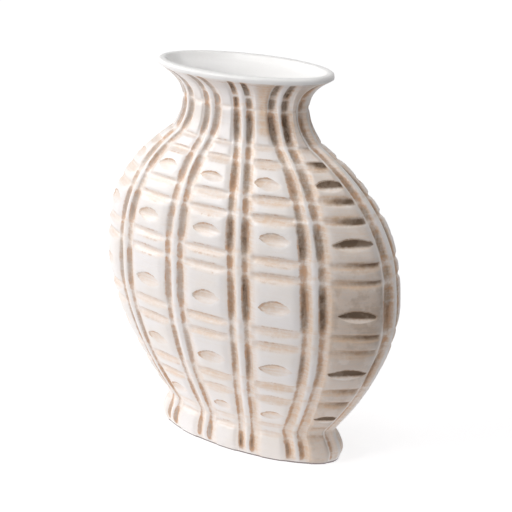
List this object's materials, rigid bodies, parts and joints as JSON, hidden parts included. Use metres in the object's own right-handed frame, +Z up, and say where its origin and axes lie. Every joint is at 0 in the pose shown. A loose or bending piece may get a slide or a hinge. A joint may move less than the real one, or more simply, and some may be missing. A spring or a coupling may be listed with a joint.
{
  "type": "pillow vase",
  "caption": "Wide, flat-bodied glazed ceramic flower vase with a plaid groove relief, short neck, flared oval rim and flared oval foot.",
  "frame": {"origin": "centre of the oval foot, on the surface that the vase stands on", "axes": "+Z up through the neck, X across the wide faces, Y through the thickness with the pictured face at -Y"},
  "size_m": [0.3416, 0.1376, 0.38],
  "materials": {
    "glazed_ceramic": "gloss"
  },
  "bodies": {
    "root": {"vase_body": "glazed_ceramic"}
  },
  "joints": []
}
